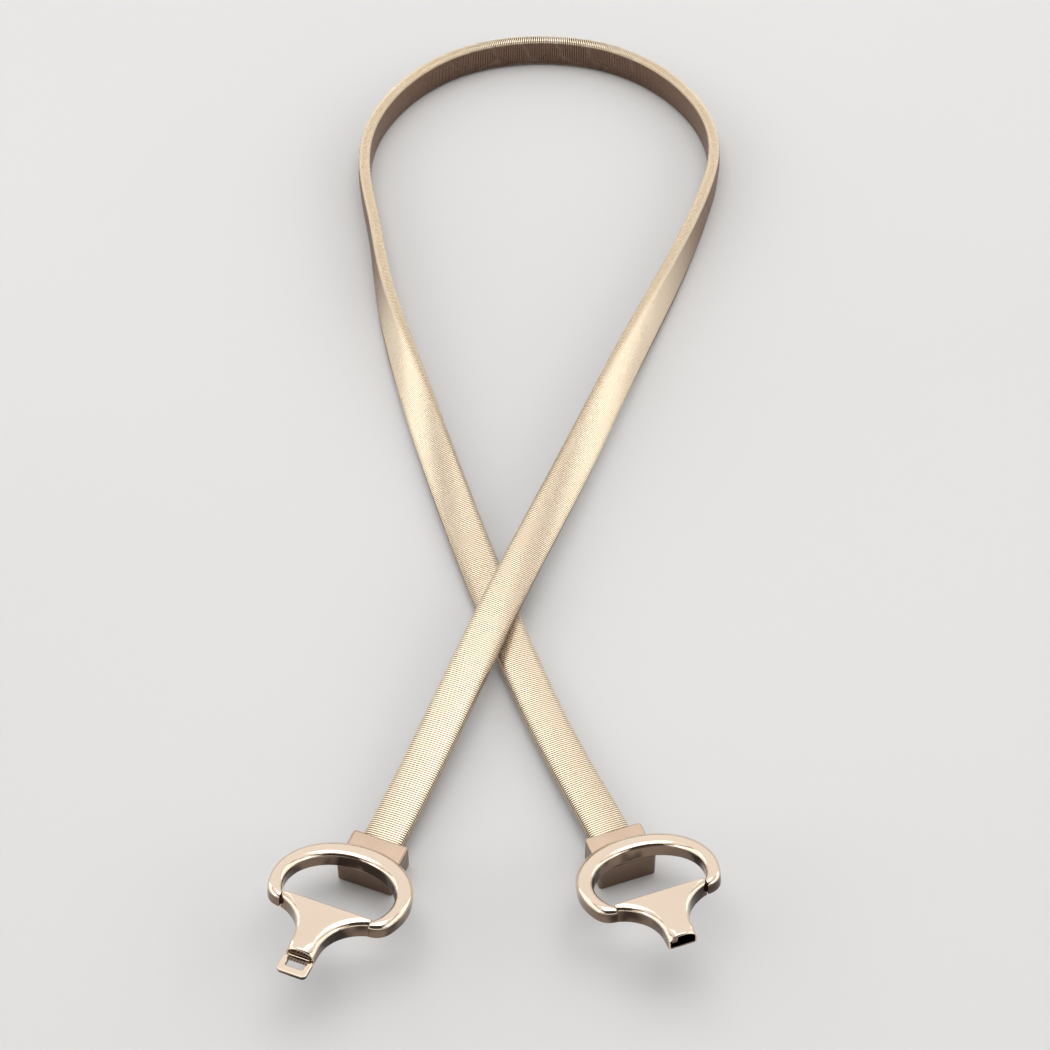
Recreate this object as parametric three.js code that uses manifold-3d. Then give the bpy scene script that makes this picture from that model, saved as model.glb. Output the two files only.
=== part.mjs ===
// Elastic belt: a stretch band of flattened coil spring, lying in one open loop, with a
// two-part bit buckle. Each end of the band is gripped by a cap that carries a round bow,
// closed by a bar whose stem holds the tongue on the left half and the socket on the right.
// Millimetres, +Z up. The belt lies on z = 0 with its buckle halves towards -Y.

import * as THREE from 'three';
import { mergeVertices } from 'three/addons/utils/BufferGeometryUtils.js';
import Module from 'manifold-3d';

const wasm = await Module();
wasm.setup();

const GAP = 0.3; // left between two pieces that touch on the real belt

// The coil: a flattened spring, so its section is a rounded box with a thin wall.
const BAND = { width: 10, thick: 3.8, corner: 1.5, wall: 0.6, stations: 112 };

// Where the band lies, from the right cap up its left side, round the far end and back down
// to the left cap. lean is 0 where the band lies flat and 90 where it stands on its edge;
// lift is how far it is held up, by a cap or by the other arm that it crosses.
const ROUTE = [
  { x: 22.0, y: -140.2, lean: 0, lift: 2.1 },
  { x: 18.0, y: -129.0, lean: 0, lift: 1.8 },
  { x: 4.4, y: -98.7, lean: 0, lift: 0.2 },
  { x: -13.6, y: -42.5, lean: 8, lift: 0 },
  { x: -28.4, y: 10.1, lean: 34, lift: 0 },
  { x: -41.7, y: 59.5, lean: 81, lift: 0 },
  { x: -43.9, y: 88.9, lean: 90, lift: 0 },
  { x: -53.9, y: 131.5, lean: 90, lift: 0 },
  { x: -24.6, y: 179.7, lean: 88, lift: 0 },
  { x: 31.7, y: 180.3, lean: 88, lift: 0 },
  { x: 60.4, y: 136.4, lean: 90, lift: 0 },
  { x: 53.5, y: 102.0, lean: 90, lift: 0 },
  { x: 41.7, y: 67.0, lean: 72, lift: 0 },
  { x: 26.9, y: 29.9, lean: 52, lift: 0.8 },
  { x: 11.7, y: -15.0, lean: 31, lift: 3.0 },
  { x: -6.8, y: -63.0, lean: 13, lift: 6.0 },
  { x: -23.8, y: -110.8, lean: 0, lift: 3.0 },
  { x: -36.3, y: -142.1, lean: 0, lift: 2.1 },
];

// The two buckle halves: the middle of the cap's back edge and the heading from -Y towards
// +X. The casting starts some way along the cap, at its own slope, a little aside of the
// cap's middle, and its stem sways a little further.
const HALVES = {
  left: { x: -33.5, y: -135.2, heading: -22, start: 5.6, rise: 20.8, aside: 0, sway: -0.25 },
  right: { x: 19.5, y: -133.2, heading: 20.2, start: 4.8, rise: 23.8, aside: -0.2, sway: 0.5 },
};

const CAP = { width: 13.8, depth: 10.1, height: 6.95, corner: 0.75, edge: 0.35, bandHeight: 4.0, pocket: 8 };

// The castings are drawn flat and then bent over an arch. s runs along the buckle from the
// bow's far edge, n across it, and both lie in the top surface.
const ARCH = { radius: 135, height: 10.6 };
const BOW = {
  thick: 3.5, round: 0.85, radius: 16.2, corner: 4.5, holeAcross: 12.7, holeAlong: 11.7, holeCentre: 17.0, seam: 10.6,
};
const BAR = {
  thick: 4.2, round: 0.75, edge: 23.1, flare: 10.9, flareCentre: 34.9, stem: 3.25, stemEnd: 37.8, stemThick: 3.6,
};
const FOOT = { width: 12, back: 6.4, front: 9.4, height: 2.4 };

const TONGUE = { width: 7, reach: 4.9, thick: 1.1, corner: 1.1, depth: 2.9, rootWidth: 4.2, rootLength: 3.6 };
const WINDOW = { width: 4.1, length: 2.2, endBar: 1.85 };
const SOCKET = { wall: 0.8, roof: 0.9, floor: 0.7, depth: 7 };
const CATCH = { width: 1.5, length: 1.6, height: 1.1, inset: 0.4 };

const CLEAR = 1; // how far a cut reaches past the face that it opens

const FINISH = {
  coil: { color: 0xd8c3a4, roughness: 0.42, metalness: 1 },
  satin: { color: 0xdccbb0, roughness: 0.38, metalness: 1 },
  polish: { color: 0xe2c9a6, roughness: 0.12, metalness: 1 },
};

function toSolid(geometry) {
  const bare = geometry.clone();
  bare.deleteAttribute('normal');
  bare.deleteAttribute('uv');
  const merged = mergeVertices(bare, 1e-4);
  return new wasm.Manifold(new wasm.Mesh({
    numProp: 3,
    vertProperties: new Float32Array(merged.attributes.position.array),
    triVerts: new Uint32Array(merged.index.array),
  }));
}

function toGeometry(solid) {
  const mesh = solid.getMesh();
  const geometry = new THREE.BufferGeometry();
  geometry.setAttribute('position', new THREE.BufferAttribute(mesh.vertProperties, 3));
  geometry.setIndex(new THREE.BufferAttribute(mesh.triVerts, 1));
  geometry.computeVertexNormals();
  return geometry;
}

// A block between two corners, as a solid for cutting or joining.
function block(x0, x1, y0, y1, z0, z1) {
  const box = new THREE.BoxGeometry(x1 - x0, y1 - y0, z1 - z0);
  return toSolid(box.translate((x0 + x1) / 2, (y0 + y1) / 2, (z0 + z1) / 2));
}

// Points along part of an ellipse, from one angle to another.
function arc(x, y, across, along, from, to, steps) {
  return new THREE.EllipseCurve(x, y, across, along, from, to, to < from).getPoints(steps);
}

// Join runs of points into one closed outline, leaving out those that fall on the last one.
function outlineOf(OutlineType, ...runs) {
  const points = [];
  for (const point of runs.flat()) {
    if (points.length === 0 || point.distanceTo(points.at(-1)) > 1e-3) points.push(point);
  }
  if (points[0].distanceTo(points.at(-1)) < 1e-3) points.pop();
  return new OutlineType(points);
}

// A rectangle with round corners, centred on the origin.
function roundedRectangle(OutlineType, width, height, radius, steps) {
  const x = width / 2 - radius;
  const y = height / 2 - radius;
  const quarter = Math.PI / 2;
  return outlineOf(
    OutlineType,
    arc(x, y, radius, radius, 0, quarter, steps),
    arc(-x, y, radius, radius, quarter, 2 * quarter, steps),
    arc(-x, -y, radius, radius, 2 * quarter, 3 * quarter, steps),
    arc(x, -y, radius, radius, 3 * quarter, 4 * quarter, steps),
  );
}

function extrude(shape, thick, round) {
  return new THREE.ExtrudeGeometry(shape, {
    depth: thick - 2 * round,
    bevelEnabled: round > 0,
    bevelThickness: round,
    bevelSize: round,
    bevelOffset: -round,
    bevelSegments: 3,
  }).translate(0, 0, round);
}

// Move every vertex of a geometry by a rule that turns one point into another.
function reshape(geometry, rule) {
  const place = geometry.attributes.position;
  const point = new THREE.Vector3();
  for (let i = 0; i < place.count; i += 1) {
    point.fromBufferAttribute(place, i);
    rule(point);
    place.setXYZ(i, point.x, point.y, point.z);
  }
  return geometry;
}

// A smooth blend of the route's rows at u from 0 to 1: a uniform cubic B-spline that starts
// and ends on the first and last rows.
function blendRoute(u) {
  const last = ROUTE.length - 1;
  const span = Math.min(Math.floor(u * last), last - 1);
  const t = u * last - span;
  const weights = [
    (1 - t) ** 3 / 6,
    (3 * t ** 3 - 6 * t ** 2 + 4) / 6,
    (-3 * t ** 3 + 3 * t ** 2 + 3 * t + 1) / 6,
    t ** 3 / 6,
  ];
  const row = { x: 0, y: 0, lean: 0, lift: 0 };
  for (const key of Object.keys(row)) {
    const before = 2 * ROUTE[0][key] - ROUTE[1][key];
    const after = 2 * ROUTE[last][key] - ROUTE[last - 1][key];
    const column = [before, ...ROUTE.map((r) => r[key]), after];
    weights.forEach((weight, i) => {
      row[key] += weight * column[span + i];
    });
  }
  return row;
}

// The band's centre line at even steps of length, each with the directions of its width and
// of its face.
function bandFrames() {
  const samples = [];
  const fine = 900;
  let length = 0;
  for (let i = 0; i <= fine; i += 1) {
    const row = blendRoute(i / fine);
    const lean = THREE.MathUtils.degToRad(row.lean);
    const { width, thick, corner } = BAND;
    const height = (width / 2 - corner) * Math.sin(lean) + (thick / 2 - corner) * Math.cos(lean) + corner;
    const centre = new THREE.Vector3(row.x, row.y, height + row.lift);
    if (i > 0) length += centre.distanceTo(samples[i - 1].centre);
    samples.push({ centre, lean, length });
  }
  const frames = [];
  let at = 1;
  for (let i = 0; i <= BAND.stations; i += 1) {
    const target = (length * i) / BAND.stations;
    while (at < fine && samples[at].length < target) at += 1;
    const from = samples[at - 1];
    const to = samples[at];
    const part = (target - from.length) / (to.length - from.length);
    const centre = from.centre.clone().lerp(to.centre, part);
    const lean = THREE.MathUtils.lerp(from.lean, to.lean, part);
    const along = to.centre.clone().sub(from.centre).setZ(0).normalize();
    const outward = new THREE.Vector3(-along.y, along.x, 0);
    const up = new THREE.Vector3(0, 0, 1);
    const wide = outward.clone().multiplyScalar(-Math.cos(lean)).addScaledVector(up, Math.sin(lean));
    const face = outward.clone().multiplyScalar(Math.sin(lean)).addScaledVector(up, Math.cos(lean));
    frames.push({ centre, wide, face });
  }
  return frames;
}

function coilBand() {
  const frames = bandFrames();
  const { width, thick, corner, wall } = BAND;
  const section = roundedRectangle(THREE.Shape, width, thick, corner, 3);
  section.holes.push(roundedRectangle(THREE.Path, width - 2 * wall, thick - 2 * wall, corner - wall, 1));
  const straight = new THREE.ExtrudeGeometry(section, {
    depth: BAND.stations,
    steps: BAND.stations,
    bevelEnabled: false,
  });
  return reshape(straight, (p) => {
    const frame = frames[Math.round(p.z)];
    const { x, y } = p;
    p.copy(frame.centre).addScaledVector(frame.wide, -x).addScaledVector(frame.face, y);
  });
}

// Bend a casting that was drawn flat, with its top face at z = 0, over the buckle's arch.
function bend(geometry, half) {
  const rise = THREE.MathUtils.degToRad(half.rise);
  return reshape(geometry, (p) => {
    const slope = rise - p.y / ARCH.radius;
    const along = half.start + ARCH.radius * (Math.sin(rise) - Math.sin(slope));
    const height = ARCH.height + ARCH.radius * (Math.cos(slope) - Math.cos(rise));
    const side = half.aside + half.sway * THREE.MathUtils.smoothstep(p.y, BAR.edge, BAR.stemEnd);
    p.set(p.x + side, along - p.z * Math.sin(slope), height + p.z * Math.cos(slope));
  });
}

// A flat block in the casting's own drawing, to be bent with it.
function bentBlock(half, x0, x1, s0, s1, z0, z1) {
  const box = new THREE.BoxGeometry(x1 - x0, s1 - s0, z1 - z0, 1, 4, 1);
  return toSolid(bend(box.translate((x0 + x1) / 2, (s0 + s1) / 2, (z0 + z1) / 2), half));
}

function endCap() {
  const outline = roundedRectangle(THREE.Shape, CAP.width, CAP.depth, CAP.corner, 3);
  const body = extrude(outline, CAP.height, CAP.edge).translate(0, CAP.depth / 2, 0);
  const across = BAND.width / 2 + GAP;
  const low = CAP.bandHeight - BAND.thick / 2 - GAP;
  const high = CAP.bandHeight + BAND.thick / 2 + GAP;
  return toGeometry(toSolid(body).subtract(block(-across, across, -CLEAR, CAP.pocket, low, high)));
}

// The bow is drawn as a closed ring and then opened at its two seams, where the bar goes in.
function bow(half) {
  const end = BOW.seam + GAP / 2;
  const turn = Math.acos(end / (BOW.radius - BOW.corner));
  const cornerCentre = BOW.radius + (BOW.radius - BOW.corner) * Math.sin(turn);
  const holeTurn = Math.acos(end / BOW.holeAcross);
  const corner = [BOW.corner, BOW.corner];
  const outline = outlineOf(
    THREE.Shape,
    arc(end, cornerCentre, ...corner, Math.PI / 2, turn, 3),
    arc(0, BOW.radius, BOW.radius, BOW.radius, turn, -Math.PI - turn, 34),
    arc(-end, cornerCentre, ...corner, Math.PI - turn, Math.PI / 2, 3),
  );
  const hole = [BOW.holeAcross, BOW.holeAlong];
  const holeArc = arc(0, BOW.holeCentre, ...hole, Math.PI - holeTurn, holeTurn + 2 * Math.PI, 30);
  outline.holes.push(outlineOf(THREE.Path, holeArc));
  const flat = extrude(outline, BOW.thick, BOW.round).translate(0, 0, -BOW.thick);
  const opening = bentBlock(half, -end, end, BAR.edge - CLEAR, BAR.stemEnd, -BOW.thick - CLEAR, CLEAR);
  const ring = toSolid(bend(flat, half)).subtract(opening);
  const seat = CAP.height + GAP;
  const { width, back, front, height } = FOOT;
  const foot = block(-width / 2, width / 2, back, front, seat, seat + height);
  const clearance = block(-CAP.width, CAP.width, -CLEAR, CAP.depth + GAP, 0, seat);
  return toGeometry(ring.add(foot).subtract(clearance));
}

// The bar's straight edge faces the bow; its other side sweeps in to the stem.
function barOutline() {
  const end = BOW.seam - GAP / 2;
  const flareX = BAR.stem + BAR.flare;
  const armTurn = Math.acos((flareX - end) / BAR.flare);
  const flare = [BAR.flare, BAR.flare];
  const corner = (x, y) => new THREE.Vector2(x, y);
  return outlineOf(
    THREE.Shape,
    [corner(-end, BAR.edge), corner(end, BAR.edge)],
    arc(flareX, BAR.flareCentre, ...flare, Math.PI + armTurn, Math.PI, 8),
    [corner(BAR.stem, BAR.stemEnd), corner(-BAR.stem, BAR.stemEnd)],
    arc(-flareX, BAR.flareCentre, ...flare, 0, -armTurn, 8),
  );
}

// The bar thins from below between its straight edge and the end of its stem.
function bar(half) {
  const flat = extrude(barOutline(), BAR.thick, BAR.round).translate(0, 0, -BAR.thick);
  const thinning = 1 - BAR.stemThick / BAR.thick;
  reshape(flat, (p) => {
    p.z *= 1 - thinning * THREE.MathUtils.smoothstep(p.y, BAR.edge, BAR.stemEnd);
  });
  return toSolid(bend(flat, half));
}

// The tongue's root lies in a groove in the underside of the stem.
function leftBar(half) {
  const across = TONGUE.rootWidth / 2 + GAP;
  const grooveTop = -TONGUE.depth + TONGUE.thick / 2 + GAP;
  const back = BAR.stemEnd - TONGUE.rootLength - GAP;
  const groove = bentBlock(half, -across, across, back, BAR.stemEnd + CLEAR, -BAR.thick - CLEAR, grooveTop);
  return toGeometry(bar(half).subtract(groove));
}

function leftTongue(half) {
  const side = TONGUE.width / 2;
  const root = TONGUE.rootWidth / 2;
  const near = BAR.stemEnd + GAP;
  const far = BAR.stemEnd + TONGUE.reach;
  const back = BAR.stemEnd - TONGUE.rootLength;
  const round = [TONGUE.corner, TONGUE.corner];
  const corner = (x, y) => new THREE.Vector2(x, y);
  const outline = outlineOf(
    THREE.Shape,
    [corner(-root, back), corner(root, back), corner(root, near), corner(side, near)],
    arc(side - TONGUE.corner, far - TONGUE.corner, ...round, 0, Math.PI / 2, 4),
    arc(TONGUE.corner - side, far - TONGUE.corner, ...round, Math.PI / 2, Math.PI, 4),
    [corner(-side, near), corner(-root, near)],
  );
  const across = WINDOW.width / 2;
  const top = far - WINDOW.endBar;
  const low = top - WINDOW.length;
  const window = [corner(-across, low), corner(-across, top), corner(across, top), corner(across, low)];
  outline.holes.push(outlineOf(THREE.Path, window));
  const flat = extrude(outline, TONGUE.thick, 0).translate(0, 0, -TONGUE.depth - TONGUE.thick / 2);
  return bend(flat, half);
}

// The socket is a blind pocket in the end of the stem.
function rightBar(half) {
  const inner = BAR.stem - SOCKET.wall;
  const back = BAR.stemEnd - SOCKET.depth;
  const floor = -BAR.stemThick + SOCKET.floor;
  return toGeometry(bar(half).subtract(bentBlock(half, -inner, inner, back, BAR.stemEnd + CLEAR, floor, -SOCKET.roof)));
}

// The catch stands on the socket's floor at its left side, just inside the mouth.
function rightCatch(half) {
  const side = BAR.stem - SOCKET.wall - GAP;
  const floor = -BAR.stemThick + SOCKET.floor + GAP;
  const front = BAR.stemEnd - CATCH.inset;
  return toGeometry(
    bentBlock(half, side - CATCH.width, side, front - CATCH.length, front, floor, floor + CATCH.height),
  );
}

function node(name, geometry, finish) {
  const mesh = new THREE.Mesh(geometry, new THREE.MeshStandardMaterial(finish));
  mesh.name = name;
  return mesh;
}

function buckleHalf(side, pieces) {
  const half = HALVES[side];
  const group = new THREE.Group();
  group.add(node(`${side}_end_cap`, endCap(), FINISH.satin));
  group.add(node(`${side}_bow`, bow(half), FINISH.polish));
  for (const [name, geometry] of pieces(half)) group.add(node(name, geometry, FINISH.polish));
  group.position.set(half.x, half.y, 0);
  group.rotation.z = Math.PI + THREE.MathUtils.degToRad(half.heading);
  return group;
}

const belt = new THREE.Group();
belt.add(node('coil_band', coilBand(), FINISH.coil));
belt.add(buckleHalf('left', (half) => [
  ['left_bar', leftBar(half)],
  ['left_tongue', leftTongue(half)],
]));
belt.add(buckleHalf('right', (half) => [
  ['right_bar', rightBar(half)],
  ['right_catch', rightCatch(half)],
]));

export default belt;
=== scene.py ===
import math

import bpy
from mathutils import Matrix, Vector


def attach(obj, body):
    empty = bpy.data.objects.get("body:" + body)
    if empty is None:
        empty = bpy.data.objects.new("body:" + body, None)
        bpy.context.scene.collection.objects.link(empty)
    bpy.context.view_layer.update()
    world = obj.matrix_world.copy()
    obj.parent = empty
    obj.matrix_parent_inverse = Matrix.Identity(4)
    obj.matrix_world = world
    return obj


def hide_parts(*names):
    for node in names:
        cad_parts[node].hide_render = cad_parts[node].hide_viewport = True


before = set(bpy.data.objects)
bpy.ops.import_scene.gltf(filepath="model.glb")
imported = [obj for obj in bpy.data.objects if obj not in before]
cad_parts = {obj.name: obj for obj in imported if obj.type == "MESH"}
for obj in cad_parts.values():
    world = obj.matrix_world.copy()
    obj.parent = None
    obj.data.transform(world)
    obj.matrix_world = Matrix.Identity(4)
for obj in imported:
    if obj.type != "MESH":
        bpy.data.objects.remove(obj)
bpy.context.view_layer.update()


# The tabletop and the studio. The belt lies on a plain pale top. Wide soft lamps hang above and
# behind it, long ones stand at its sides, and a low strip and two small lamps light it from the
# front. The camera looks down on it from the front.

class Value:
    """One value in a finish, so that sums on it can be written out."""

    def __init__(self, finish, socket):
        self.finish, self.socket = finish, socket

    def sum(self, operation, *values):
        return self.finish.node("ShaderNodeMath", {"operation": operation}, *values)

    def __add__(self, other):
        return self.sum("ADD", self, other)

    def __mul__(self, other):
        return self.sum("MULTIPLY", self, other)

    __radd__ = __add__
    __rmul__ = __mul__


class Finish:
    """A material with its shader's constant values set on the shader itself."""

    def __init__(self, name, **constants):
        self.material = bpy.data.materials.new(name)
        self.material.use_nodes = True
        self.tree = self.material.node_tree
        self.shader = self.tree.nodes["Principled BSDF"]
        for socket, value in constants.items():
            self.shader.inputs[socket.replace("_", " ")].default_value = value

    def node(self, kind, settings, *values, out=0, **named):
        """A node of this kind, with its settings and then its sockets' values or links."""
        made = self.tree.nodes.new(kind)
        for key, value in settings.items():
            if key == "stops":
                ramp = made.color_ramp.elements
                while len(ramp) < len(value):
                    ramp.new(0.5)
                for stop, (at, colour) in zip(ramp, value):
                    stop.position, stop.color = at, (*colour, 1)
            else:
                setattr(made, key, value)
        inputs = list(enumerate(values)) + [(key.replace("_", " "), v) for key, v in named.items()]
        for key, value in inputs:
            if isinstance(value, Value):
                self.tree.links.new(value.socket, made.inputs[key])
            else:
                made.inputs[key].default_value = value
        return Value(self, made.outputs[out])

    def feed(self, socket, value):
        self.tree.links.new(value.socket, self.shader.inputs[socket])

    def spot(self, scale, **more):
        """Cloudy noise on the piece's own coordinates."""
        place = self.node("ShaderNodeTexCoord", {}, out="Object")
        return self.node("ShaderNodeTexNoise", {}, Vector=place, Scale=scale, **more)

    def kept(self, name):
        """A number that the mesh keeps at each of its points."""
        return self.node("ShaderNodeAttribute", {"attribute_name": name}, out="Fac")

    def fade(self, value, low, high):
        """0 up to the low value and 1 from the high one, with a smooth step between them."""
        return self.node("ShaderNodeMapRange", {"interpolation_type": "SMOOTHSTEP"}, value, low, high)

    def mix(self, factor, one, other):
        """One colour where the factor is 0, and the other where it is 1."""
        colours = {name: colour if isinstance(colour, Value) else (*colour, 1)
                   for name, colour in (("A", one), ("B", other))}
        return self.node("ShaderNodeMix", {"data_type": "RGBA"}, factor, out=2, **colours)


tabletop_width = 8
bpy.ops.object.select_all(action="DESELECT")
bpy.ops.mesh.primitive_plane_add(size=tabletop_width, location=(0, 0, 0))
tabletop = bpy.context.active_object
tabletop.name = "tabletop"
paper = Finish("pale_paper", Roughness=0.9)
paper.feed("Base Color", paper.node(
    "ShaderNodeValToRGB", {"stops": [(0.3, (0.67, 0.66, 0.65)), (0.7, (0.70, 0.69, 0.68))]},
    paper.spot(3.0, Detail=2.0)))
tabletop.data.materials.append(paper.material)

# Each lamp's name, its place and the point that it faces, its width and depth, and its watts.
lamps = [
    ("lamp_above", (0, 0.24, 1.35), (0, 0.24, 0), 1.3, 1.1, 6.5),
    ("lamp_high", (0, 0.28, 1.40), (0, 0.28, 0), 2.8, 1.2, 10),
    ("lamp_behind", (0, 1.8, 1.40), (0, 0, 1.40), 4.4, 2.7, 37),
    ("lamp_left", (-1.9, 0.2, 0.85), (0, 0.2, 0.85), 3.2, 1.6, 23),
    ("lamp_right", (1.9, 0.2, 0.85), (0, 0.2, 0.85), 3.2, 1.6, 23),
    ("lamp_front", (0, -1.7, 0.35), (0, 0, 0.35), 3.6, 0.54, 6.4),
    ("lamp_front_left", (-1.55, -1.0, 1.05), (0, 0, 0), 1.2, 1.2, 4.3),
    ("lamp_front_right", (1.55, -1.0, 1.05), (0, 0, 0), 1.2, 1.2, 4.3),
]
for name, place, aim, width, depth, watts in lamps:
    bpy.ops.object.light_add(type="AREA", location=place)
    lamp = bpy.context.active_object
    lamp.name = name
    lamp.data.shape = "RECTANGLE"
    lamp.data.size, lamp.data.size_y, lamp.data.energy = width, depth, watts
    lamp.rotation_euler = (Vector(aim) - Vector(place)).to_track_quat("-Z", "Y").to_euler()

world = bpy.data.worlds.new("studio_air")
world.use_nodes = True
world.node_tree.nodes["Background"].inputs["Color"].default_value = (0.05, 0.049, 0.048, 1)
world.node_tree.nodes["Background"].inputs["Strength"].default_value = 1.0
bpy.context.scene.world = world
bpy.context.scene.view_settings.view_transform = "Standard"

# The camera looks 45.6 degrees down. Its lens is stated in the photograph's own pixels.
camera_place, looks_down = (-0.0006, -0.4853, 0.4668), 45.6
film_width, lens_pixels, photo_pixels = 36, 2500, 1050
bpy.ops.object.camera_add(
    location=camera_place, rotation=(math.radians(90 - looks_down), 0, 0))
camera = bpy.context.active_object
camera.data.sensor_width, camera.data.sensor_fit = film_width, "HORIZONTAL"
camera.data.lens = film_width * lens_pixels / photo_pixels
camera.data.clip_start = 0.01
bpy.context.scene.camera = camera


# The stretch band: one long flattened coil of gold-plated steel wire, wound turn against turn, so
# that it stretches like a spring. It is hollow inside, and its turns show as fine cross stripes.

# In metres: the band, its rounded edges, how much its broad faces bulge, half the wire, the pitch.
band_width, band_thick, band_corner, band_crown = 0.010, 0.0038, 0.0015, 0.0002
wire_half = 0.0003
turn_pitch = 0.000606
# From the right cap up the left side, round the far end and down to the left cap: x and y in
# millimetres, how far the band leans on its edge in degrees, and its height above the table.
route = [
    (22.0, -140.2, 0, 2.1), (18.0, -129.0, 0, 1.8), (4.4, -98.7, 0, 0.2), (-13.6, -42.5, 8, 0),
    (-28.4, 10.1, 34, 0), (-41.7, 59.5, 81, 0), (-43.9, 88.9, 90, 0), (-53.9, 131.5, 90, 0),
    (-24.6, 179.7, 88, 0), (31.7, 180.3, 88, 0), (60.4, 136.4, 90, 0), (53.5, 102.0, 90, 0),
    (41.7, 67.0, 72, 0), (26.9, 29.9, 52, 0.8), (11.7, -15.0, 31, 3.0), (-6.8, -63.0, 13, 6.0),
    (-23.8, -110.8, 0, 3.0), (-36.3, -142.1, 0, 2.1),
]
route_samples = 4000


def route_at(u):
    """A place on the smooth curve along the route, from 0 at its first row to 1 at its last, and
    the band's lean there. The weights are those of a cubic B-spline."""
    last = len(route) - 1
    span = min(int(u * last), last - 1)
    t = u * last - span
    weights = ((1 - t) ** 3 / 6, (3 * t ** 3 - 6 * t ** 2 + 4) / 6,
               (-3 * t ** 3 + 3 * t ** 2 + 3 * t + 1) / 6, t ** 3 / 6)
    before = [2 * a - b for a, b in zip(route[0], route[1])]
    after = [2 * a - b for a, b in zip(route[-1], route[-2])]
    rows = [before, *route, after][span:span + 4]
    x, y, lean, lift = (sum(w * row[i] for w, row in zip(weights, rows)) for i in range(4))
    lean = math.radians(lean)
    height = ((band_width / 2 - band_corner) * math.sin(lean)
              + (band_thick / 2 - band_corner) * math.cos(lean) + band_corner)
    return Vector((x / 1000, y / 1000, height + lift / 1000)), lean


def band_stations(step):
    """The band's centre line at even steps, each with its tangent, width and face directions."""
    fine = [route_at(i / route_samples) for i in range(route_samples + 1)]
    lengths = [0.0]
    for (a, _), (b, _) in zip(fine, fine[1:]):
        lengths.append(lengths[-1] + (b - a).length)
    at = 1
    for count in range(int(lengths[-1] / step) + 1):
        target = count * step
        while lengths[at] < target:
            at += 1
        part = (target - lengths[at - 1]) / (lengths[at] - lengths[at - 1])
        (a, lean_a), (b, lean_b) = fine[at - 1], fine[at]
        lean = lean_a + (lean_b - lean_a) * part
        ahead = (b - a).normalized()
        outward = Vector((-ahead.y, ahead.x, 0)).normalized()
        up = Vector((0, 0, 1))
        wide = up * math.sin(lean) - outward * math.cos(lean)
        face = up * math.cos(lean) + outward * math.sin(lean)
        yield a.lerp(b, part), ahead, wide, face


def coil_section():
    """Where the wire's middle runs round one turn, with the way that is out of the coil there."""
    reach_x, reach_y = band_width / 2 - band_corner, band_thick / 2 - band_corner
    inner = band_corner - wire_half
    for quarter, (sx, sy) in enumerate([(1, 1), (-1, 1), (-1, -1), (1, -1)]):
        for part_turn in (0, 45, 90):
            angle = math.radians(90 * quarter + part_turn)
            x, y = math.cos(angle), math.sin(angle)
            sunk = band_crown * abs(y) ** 4
            yield sx * reach_x + inner * x, sy * (reach_y - sunk) + inner * y, (x, y)
        if quarter in (0, 2):
            yield 0, sy * (band_thick / 2 - wire_half), (0, sy)


# The wire is rolled nearly flat where it faces out, with steep sides down to the next turn. For
# each edge of it: how far out and how far to the side it lies, and 1 where that is in a groove.
wire_profile = [(1.0, 0.0, 0), (0.94, 0.50, 0), (0.30, 0.94, 1), (0.30, -0.94, 1), (0.94, -0.50, 0)]
sides = len(wire_profile)
# Where the wire bends round the band's edges it is narrower, which leaves small gaps there.
bend_narrowing = 0.42
# The finish paints shade by how far each point looks down, less so at the bends, and paints shade in
# the groove between turns: darkest where the band lies flat, and faint where it stands on its edge.
bend_lightening, faint_groove_shade = 0.4, 0.12

section = list(coil_section())
points, coil_faces, turns, coil_flank_shades, groove_shades = [], [], [], [], []
for count, (centre, ahead, wide, face) in enumerate(band_stations(turn_pitch / len(section))):
    x, y, (out_x, out_y) = section[count % len(section)]
    middle = centre - wide * x + face * y
    out = face * out_y - wide * out_x
    spread = turn_pitch / 2 * (1 - bend_narrowing * abs(out_x))
    for outwards, sideways, groove in wire_profile:
        points.append(middle + out * wire_half * outwards + ahead * spread * sideways)
        turns.append(count / len(section))
        coil_flank_shades.append(1 - out.z - bend_lightening * abs(out_x))
        groove_shades.append(groove * (faint_groove_shade + (1 - faint_groove_shade) * max(face.z, 0) ** 4))
    if count:
        old, new = sides * (count - 1), sides * count
        coil_faces += [(old + i, old + (i + 1) % sides, new + (i + 1) % sides, new + i)
                       for i in range(sides)]
first_end, last_end = range(sides), range(len(points) - 1, len(points) - 1 - sides, -1)
coil_faces += [tuple(first_end), tuple(last_end)]
coil_mesh = bpy.data.meshes.new("gold_coil")
coil_mesh.from_pydata(points, [], coil_faces)
for name, values in (("turn", turns), ("under", coil_flank_shades), ("groove", groove_shades)):
    coil_mesh.attributes.new(name, "FLOAT", "POINT").data.foreach_set("value", values)
coil = bpy.data.objects.new("gold_coil", coil_mesh)
bpy.context.collection.objects.link(coil)
bpy.ops.object.select_all(action="DESELECT")
coil.select_set(True)
bpy.context.view_layer.objects.active = coil
bpy.ops.object.mode_set(mode="EDIT")
bpy.ops.mesh.select_all(action="SELECT")
bpy.ops.mesh.normals_make_consistent(inside=False)
bpy.ops.object.mode_set(mode="OBJECT")
bpy.ops.object.shade_smooth_by_angle(angle=math.radians(40))

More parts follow.
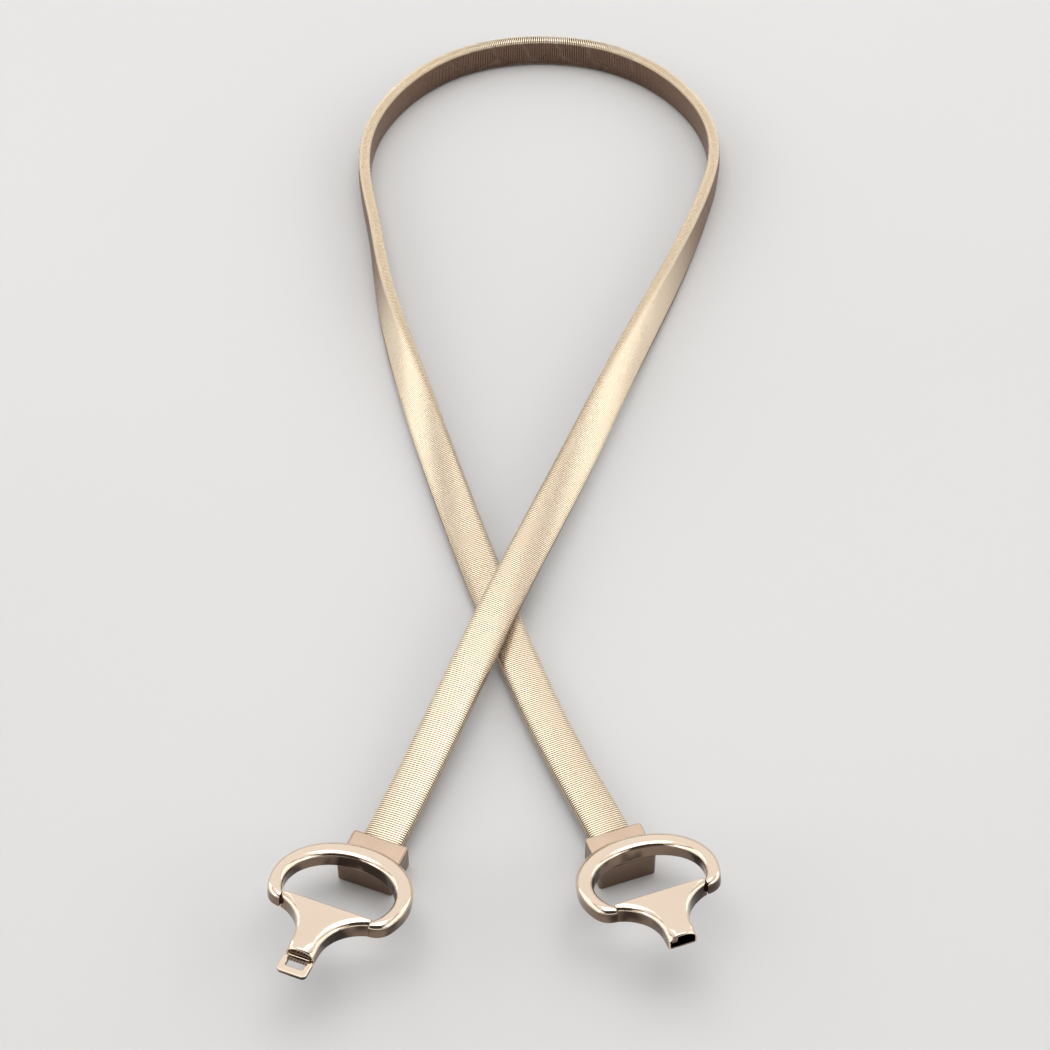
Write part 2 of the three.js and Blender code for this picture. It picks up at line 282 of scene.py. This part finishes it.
# Each turn is a little lighter or darker than the next, and the plating is worn in soft patches.
coil_gold = Finish("coil_gold", Metallic=1.0)
each_turn = coil_gold.node(
    "ShaderNodeTexNoise", {"noise_dimensions": "1D"}, W=coil_gold.kept("turn") * 0.9, Scale=1.0)
worn = coil_gold.spot(160.0, Detail=3.0)
crown = coil_gold.mix(each_turn * 0.6 + worn * 0.4, (0.91, 0.76, 0.57), (0.97, 0.84, 0.66))
# Painted shade: the groove between the turns is darkened to nearly black.
bright = coil_gold.mix(coil_gold.kept("groove"), crown, (0.12, 0.075, 0.045))
# Painted shade: where the coil looks down or to the side it is painted dark brown.
under = coil_gold.fade(coil_gold.kept("under"), 0.5, 0.95)
coil_gold.feed("Base Color", coil_gold.mix(under, bright, (0.25, 0.165, 0.12)))
coil_gold.feed("Roughness", worn * 0.08 + 0.23)
coil.data.materials.append(coil_gold.material)
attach(coil, "root")
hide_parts("coil_band")


# The end caps: two small cast blocks with a satin finish, one on each end of the coil. The coil's
# end is pressed into a pocket in the cap, and the buckle's bow is fixed on top.

cap_width, cap_length, cap_height = 13.8, 10.1, 6.95
# In metres and degrees: where the back of each cap lies and which way its half of the buckle
# points, where the half's arch starts in front of that and how steeply it rises, and how far the
# half sits to the side at its bow and sways from there to its stem.
halves = {
    "left": {"place": (-0.0335, -0.1352), "turn": 180 - 22.0, "start": 0.0056, "rise": 20.8,
             "aside": 0.0, "sway": -0.00025},
    "right": {"place": (0.0195, -0.1332), "turn": 180 + 20.2, "start": 0.0048, "rise": 23.8,
              "aside": -0.0002, "sway": 0.0005},
}


def onto_belt(side, across, forward, height):
    """A point of a buckle half's own drawing, in metres, at its place on the belt."""
    half = halves[side]
    turn = math.radians(half["turn"])
    return Vector((
        half["place"][0] + across * math.cos(turn) - forward * math.sin(turn),
        half["place"][1] + across * math.sin(turn) + forward * math.cos(turn), height))


def start_piece(name, primitive, **size):
    """A new primitive, the only thing that is selected."""
    bpy.ops.object.select_all(action="DESELECT")
    primitive(location=(0, 0, 0), **size)
    bpy.context.active_object.name = name
    return bpy.context.active_object


def shape(piece, *steps):
    """Edit-mode steps, with everything selected before each."""
    bpy.ops.object.select_all(action="DESELECT")
    piece.select_set(True)
    bpy.context.view_layer.objects.active = piece
    bpy.ops.object.mode_set(mode="EDIT")
    for operator, options in steps:
        bpy.ops.mesh.select_all(action="SELECT")
        operator(**options)
    bpy.ops.object.mode_set(mode="OBJECT")


def cut_away(piece, cutter):
    """The piece without what the cutter fills. The cutter is used up."""
    modifier = piece.modifiers.new("cut", "BOOLEAN")
    modifier.object, modifier.operation, modifier.solver = cutter, "DIFFERENCE", "EXACT"
    bpy.context.view_layer.objects.active = piece
    bpy.ops.object.modifier_apply(modifier=modifier.name)
    bpy.data.objects.remove(cutter)


def round_edges(piece, width, segments, angle=50):
    """Rounds the edges that are sharper than the angle, in degrees."""
    modifier = piece.modifiers.new("round", "BEVEL")
    modifier.width, modifier.segments = width, segments
    modifier.limit_method, modifier.angle_limit = "ANGLE", math.radians(angle)
    bpy.context.view_layer.objects.active = piece
    bpy.ops.object.modifier_apply(modifier=modifier.name)


def settle(piece, rule, shade=None):
    """A piece is drawn in millimetres; the rule takes each of its points to the belt, in metres.
    Before that each point keeps how sloped the piece is there, or what the shade rule says: the
    painted shade on the flanks, which are painted dark as if they reflected dark surroundings."""
    steep = []
    for vertex in piece.data.vertices:
        own = shade(*vertex.co) if shade else None
        steep.append(1 - vertex.normal.z if own is None else own)
    piece.data.attributes.new("steep", "FLOAT", "POINT").data.foreach_set("value", steep)
    for vertex in piece.data.vertices:
        vertex.co = rule(*(vertex.co / 1000))
    piece.data.update()
    shape(piece, (bpy.ops.mesh.normals_make_consistent, {"inside": False}))
    bpy.ops.object.shade_smooth_by_angle(angle=math.radians(40))
    modifier = piece.modifiers.new("flat_tops", "WEIGHTED_NORMAL")
    modifier.keep_sharp = True
    bpy.ops.object.modifier_apply(modifier=modifier.name)


def rounded_block(name, lengths, middle, corner, segments=4):
    """A block with its upright edges rounded, drawn in millimetres."""
    block = start_piece(name, bpy.ops.mesh.primitive_cube_add, size=1)
    for vertex in block.data.vertices:
        vertex.co = [c * length + m for c, length, m in zip(vertex.co, lengths, middle)]
    bpy.ops.object.mode_set(mode="EDIT")
    bpy.ops.mesh.select_all(action="DESELECT")
    bpy.ops.object.mode_set(mode="OBJECT")
    for edge in block.data.edges:
        a, b = (block.data.vertices[i].co for i in edge.vertices)
        edge.select = abs(a.z - b.z) > lengths[2] / 2
    bpy.ops.object.mode_set(mode="EDIT")
    bpy.ops.mesh.select_mode(type="EDGE")
    bpy.ops.mesh.bevel(offset=corner, segments=segments, affect="EDGES")
    bpy.ops.object.mode_set(mode="OBJECT")
    return block


def cap_shade(across, forward, height):
    """Painted shade: the rounded edge above a cap's front face is as dark as the face."""
    return 0.9 if forward > cap_length - 0.4 and height > cap_height - 0.45 else None


satin_gold = Finish("satin_gold", Metallic=1.0)
grain = satin_gold.spot(1500.0, Detail=2.0)
cloud = satin_gold.spot(180.0, Detail=2.0)
bright = satin_gold.mix(cloud, (0.46, 0.34, 0.25), (0.51, 0.38, 0.29))
# Painted reflection: the caps' flanks are painted dark brown, as if they reflected dark surroundings.
flank = satin_gold.fade(satin_gold.kept("steep"), 0.5, 0.8)
satin_gold.feed("Base Color", satin_gold.mix(flank, bright, (0.22, 0.15, 0.11)))
satin_gold.feed("Roughness", cloud * 0.10 + 0.23)
satin_gold.feed("Normal", satin_gold.node(
    "ShaderNodeBump", {}, Height=grain, Strength=0.15, Distance=0.00005))

for side in halves:
    cap = rounded_block(f"{side}_satin_cap", (cap_width, cap_length, cap_height),
                        (0, cap_length / 2, cap_height / 2), 0.75)
    round_edges(cap, 0.35, 3)
    # The pocket is 0.6 mm wider and higher than the band, with 2.1 mm of metal in front of it.
    cut_away(cap, rounded_block("pocket", (10.6, 10, 4.4), (0, 3, 4.0), 0.05))
    settle(cap, lambda n, a, h: onto_belt(side, n, a, h), cap_shade)
    cap.data.materials.append(satin_gold.material)
    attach(cap, "root")
    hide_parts(f"{side}_end_cap")


# The bows: a round, brightly polished open ring on each cap. Each is a zinc casting, gold plated,
# with its top rolled off to the rims, and it arches up and forward over its cap.

bow_thick, bow_radius, bow_corner, bow_seam = 3.5, 16.2, 4.5, 10.75
hole_across, hole_along, hole_centre = 12.7, 11.7, 17.0
# How far in from its rims the bow's top starts to roll off, and how far it drops.
bow_roll, top_drop = 2.0, 1.25
# Where the bar's straight edge and the end of its stem lie, between which each half sways.
bar_edge, stem_end = 23.1, 37.8
# In metres: the radius of each half's arch, and the height at which it starts.
arch_radius, arch_foot = 0.135, 0.0106


def smooth(x, low, high):
    """0 up to the low value and 1 from the high one, with a smooth step between them."""
    t = min(max((x - low) / (high - low), 0), 1)
    return t * t * (3 - 2 * t)


def roll(distance, reach, depth):
    """How far a casting's top has dropped at this distance from its rim: a quarter of an oval."""
    inset = max(reach - distance, 0) / reach
    return depth * (1 - math.sqrt(max(1 - inset ** 2, 0)))


def over_arch(side, across, along, depth):
    """A point of a casting that was drawn flat, bent over its half's arch, all in metres."""
    half = halves[side]
    rise = math.radians(half["rise"])
    slope = rise - along / arch_radius
    forward = (half["start"] + arch_radius * (math.sin(rise) - math.sin(slope))
               - depth * math.sin(slope))
    height = (arch_foot + arch_radius * (math.cos(slope) - math.cos(rise))
              + depth * math.cos(slope))
    aside = half["aside"] + half["sway"] * smooth(along, bar_edge / 1000, stem_end / 1000)
    return across + aside, forward, height


def bow_rim(t):
    """The bow's outer edge from its left seam (0) to its right seam (1)."""
    turn = math.acos(bow_seam / (bow_radius - bow_corner))
    corner_centre = bow_radius + (bow_radius - bow_corner) * math.sin(turn)
    corner_length = (math.pi / 2 - turn) * bow_corner
    length = 2 * corner_length + (math.pi + 2 * turn) * bow_radius
    side = 1 if t > 0.5 else -1
    walked = min(t, 1 - t) * length
    if walked < corner_length:
        angle = math.pi / 2 - walked / bow_corner
        return Vector((side * (bow_seam + bow_corner * math.cos(angle)),
                       corner_centre + bow_corner * math.sin(angle)))
    angle = turn - (walked - corner_length) / bow_radius
    return Vector((side * bow_radius * math.cos(angle), bow_radius + bow_radius * math.sin(angle)))


def bow_hole(t):
    """The edge of the bow's oval hole, from its left seam (0) to its right seam (1)."""
    turn = math.acos(bow_seam / hole_across)
    angle = math.pi - turn + t * (math.pi + 2 * turn)
    return Vector((hole_across * math.cos(angle), hole_centre + hole_along * math.sin(angle)))


def add_walls(piece, underside):
    """Walls from the rims of a casting's top down to its underside, whose height the rule gives.
    They are drawn far too deep first, so that the lower points can be told from the top's."""
    too_deep = 50
    shape(piece, (bpy.ops.mesh.extrude_region_move,
                  {"TRANSFORM_OT_translate": {"value": (0, 0, -too_deep)}}))
    for vertex in piece.data.vertices:
        if vertex.co.z < -too_deep / 2:
            vertex.co.z = underside(vertex.co.y)
    shape(piece, (bpy.ops.mesh.normals_make_consistent, {"inside": False}))


def seat_bow(side, across, along, depth):
    """A point of the bow on the belt. Over its cap the bow is cut off level, just above it."""
    across, forward, height = over_arch(side, across, along, depth)
    if forward < (cap_length + 0.1) / 1000 and abs(across) < (cap_width / 2 + 0.3) / 1000:
        height = max(height, (cap_height + 0.02) / 1000)
    return onto_belt(side, across, forward, height)


# The polish shows hairlines. Its flanks get painted reflection: dark, in near black and brown patches.
polished_gold = Finish("polished_gold", Metallic=1.0)
cloud = polished_gold.spot(120.0, Detail=3.0)
hairline = polished_gold.spot(900.0, Detail=4.0)
bright = polished_gold.mix(cloud, (0.78, 0.63, 0.495), (0.83, 0.68, 0.54))
reflection_patch = polished_gold.fade(polished_gold.spot(110.0), 0.40, 0.56)
painted_wall_reflection = polished_gold.mix(reflection_patch, (0.05, 0.034, 0.026), (0.25, 0.18, 0.135))
flank = polished_gold.fade(polished_gold.kept("steep"), 0.58, 0.85)
polished_gold.feed("Base Color", polished_gold.mix(flank, bright, painted_wall_reflection))
polished_gold.feed("Roughness", hairline * 0.06 + 0.07)

for side in halves:
    bow = start_piece(f"{side}_polished_bow", bpy.ops.mesh.primitive_grid_add,
                      x_subdivisions=14, y_subdivisions=120, size=2)
    for vertex in bow.data.vertices:
        share = 0.5 + 0.5 * math.sin(vertex.co.x * math.pi / 2)
        rim, hole = bow_rim(vertex.co.y / 2 + 0.5), bow_hole(vertex.co.y / 2 + 0.5)
        place = rim.lerp(hole, share)
        width = (rim - hole).length
        drop = roll(share * width, bow_roll, top_drop) + roll((1 - share) * width, bow_roll, top_drop)
        vertex.co = (place.x, place.y, -min(drop, top_drop))
    add_walls(bow, lambda y: -bow_thick)
    round_edges(bow, 0.25, 3)
    settle(bow, lambda x, y, z: seat_bow(side, x, y, z))
    foot = rounded_block(f"{side}_bow_foot", (12, 3.55, 2.35), (0, 8.175, 8.125), 0.6)
    settle(foot, lambda n, a, h: onto_belt(side, n, a, h))
    for piece in (bow, foot):
        piece.data.materials.append(polished_gold.material)
        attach(piece, "root")
    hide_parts(f"{side}_bow")


# The bars: a plate that closes each bow with a straight edge and sweeps in to a short domed stem.
# The left stem carries the tongue in a groove below; the right stem is hollow, the tongue's socket.

bar_end, flare, flare_centre, stem = 10.7, 10.9, 34.9, 3.25
# How far in from each rim the bar's top starts to roll off, and how far it drops there.
sweep_roll, edge_roll, mouth_roll, seam_roll = (2.1, top_drop), (0.6, 0.45), (0.5, 0.45), (0.2, 0.15)
dome_start, dome_drop = 35.0, 0.8
# Where the stem's top starts to roll off to its mouth, and the thickness of the socket's roof there.
mouth_line, roof = 37.3, 0.36
socket_width = 5.7
bar_thick, stem_thinning = 4.2, 0.6


def bar_outline():
    """The bar's outline, once round: its straight edge, and a quarter round on each side."""
    arm_turn, steps = math.acos((stem + flare - bar_end) / flare), 24
    sweep = [(stem + flare - flare * math.cos(arm_turn * (1 - i / steps)),
              flare_centre - flare * math.sin(arm_turn * (1 - i / steps))) for i in range(steps + 1)]
    right = [(bar_end, bar_edge), *sweep, (stem, stem_end)]
    return right + [(-x, y) for x, y in reversed(right)]


def bar_top(x, y):
    """The height of the bar's polished top: rolled to its rims, and domed across the stem."""
    from_sweep = (math.hypot(abs(x) - stem - flare, y - flare_centre) - flare
                  if y < flare_centre else stem - abs(x))
    drop = roll(max(from_sweep, 0), *sweep_roll)
    drop += roll(y - bar_edge, *edge_roll) + roll(stem_end - y, *mouth_roll)
    drop += roll(bar_end - abs(x), *seam_roll)
    return -min(drop, top_drop) - dome_drop * smooth(y, dome_start, stem_end) * (x / stem) ** 2


def cuts_across(places, direction):
    """Steps that cut a sheet's faces at each of these places in a direction."""
    return [(bpy.ops.mesh.bisect, {"plane_co": [place * part for part in direction],
                                   "plane_no": direction, "threshold": 1e-4}) for place in places]


def bar_plate(name):
    outline = bar_outline()
    plate = start_piece(name, bpy.ops.mesh.primitive_circle_add,
                        vertices=len(outline), radius=1, fill_type="NGON")
    for vertex, (x, y) in zip(plate.data.vertices, outline):
        vertex.co = (x, y, 0)
    bpy.ops.object.mode_set(mode="EDIT")
    bpy.ops.mesh.select_all(action="SELECT")
    for step in (0.06, 0.10, 0.14, 0.18, 0.22):
        bpy.ops.mesh.inset(thickness=step, depth=0, use_even_offset=True)
    bpy.ops.object.mode_set(mode="OBJECT")
    shape(plate, *cuts_across([y * 0.5 for y in range(47, 76)], (0, 1, 0)),
          *cuts_across([x * 0.65 for x in range(-15, 16)], (1, 0, 0)))
    for vertex in plate.data.vertices:
        vertex.co.z = bar_top(vertex.co.x, vertex.co.y)
    add_walls(plate, lambda y: stem_thinning * smooth(y, bar_edge, stem_end) - bar_thick)
    return plate


def stem_shade(x, y, z):
    """Painted light on the stem's end: a painted highlight on its rim and sides, painted shade on the
    rest of its end face, and painted shade inside the socket.
    """
    if y > stem_end - 0.06:
        on_rim = z > bar_top(x, mouth_line) - roof + 0.01 or abs(x) > socket_width / 2 + 0.02
        return 0.0 if on_rim else 0.9
    inside = y > 30 and abs(x) < socket_width / 2 + 0.05 and -3.3 < z < bar_top(x, y) - 0.3
    return 1.0 if inside else None


for side in halves:
    bar = bar_plate(f"{side}_polished_bar")
    if side == "left":
        cut_away(bar, rounded_block("groove", (4.8, 5, 4), (0, 36.4, -4.05), 0.4))
    else:
        socket = rounded_block("socket", (socket_width, 8, 2.6), (0, 34.8, -1.9), 0.3)
        shape(socket, *cuts_across([x * 0.4 for x in range(-5, 6)], (1, 0, 0)))
        for vertex in socket.data.vertices:
            if vertex.co.z > -1:
                vertex.co.z = bar_top(vertex.co.x, mouth_line) - roof
        cut_away(bar, socket)
    round_edges(bar, 0.15, 2, 60)
    settle(bar, lambda x, y, z: onto_belt(side, *over_arch(side, x, y, z)), stem_shade)
    bar.data.materials.append(polished_gold.material)
    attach(bar, "root")
    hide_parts(f"{side}_bar")


# The tongue: a stamped steel plate with a window, gold plated, held in the left stem's groove. A
# low folded step behind its window stops it at the socket's mouth, and a comb of teeth, painted dark
# as shade, lies between the two.

tongue_thick, tongue_level, tongue_corner = 1.1, -2.9, 1.1
tooth_count, tooth_pitch = 7, 0.72

tongue = rounded_block("gold_tongue", (7, 4.9, tongue_thick), (0, 40.25, tongue_level), tongue_corner, 6)
cut_away(tongue, rounded_block("window", (4.1, 2.2, 3), (0, 39.75, tongue_level), 0.25))
round_edges(tongue, 0.22, 3)
root = rounded_block("tongue_root", (4.2, 4.4, tongue_thick), (0, 36.4, tongue_level), 0.3)
step = rounded_block("tongue_step", (5.0, 0.5, 0.7), (0, 38.15, -2.2), 0.2)
round_edges(step, 0.12, 2)
teeth = [rounded_block(f"tongue_tooth_{i + 1}", (0.34, 1.1, 0.7),
                       (tooth_pitch * (i - tooth_count // 2), 38.75, -2.35), 0.1)
         for i in range(tooth_count)]
# Painted shade: the teeth are painted all over in the darkest flank colour.
for piece in (tongue, root, step, *teeth):
    settle(piece, lambda x, y, z: onto_belt("left", *over_arch("left", x, y, z)),
           (lambda x, y, z: 0.9) if piece in teeth else None)
    piece.data.materials.append(polished_gold.material)
    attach(piece, "root")
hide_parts("left_tongue")


# The catch: a small plated hook just inside the socket's mouth, at its left. It drops into the
# tongue's window when the buckle is closed.

catch = rounded_block("gold_catch", (1.5, 1.6, 1.1), (1.7, 36.6, -1.9), 0.25)
round_edges(catch, 0.18, 3)
settle(catch, lambda x, y, z: onto_belt("right", *over_arch("right", x, y, z)))
catch.data.materials.append(polished_gold.material)
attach(catch, "root")
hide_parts("right_catch")
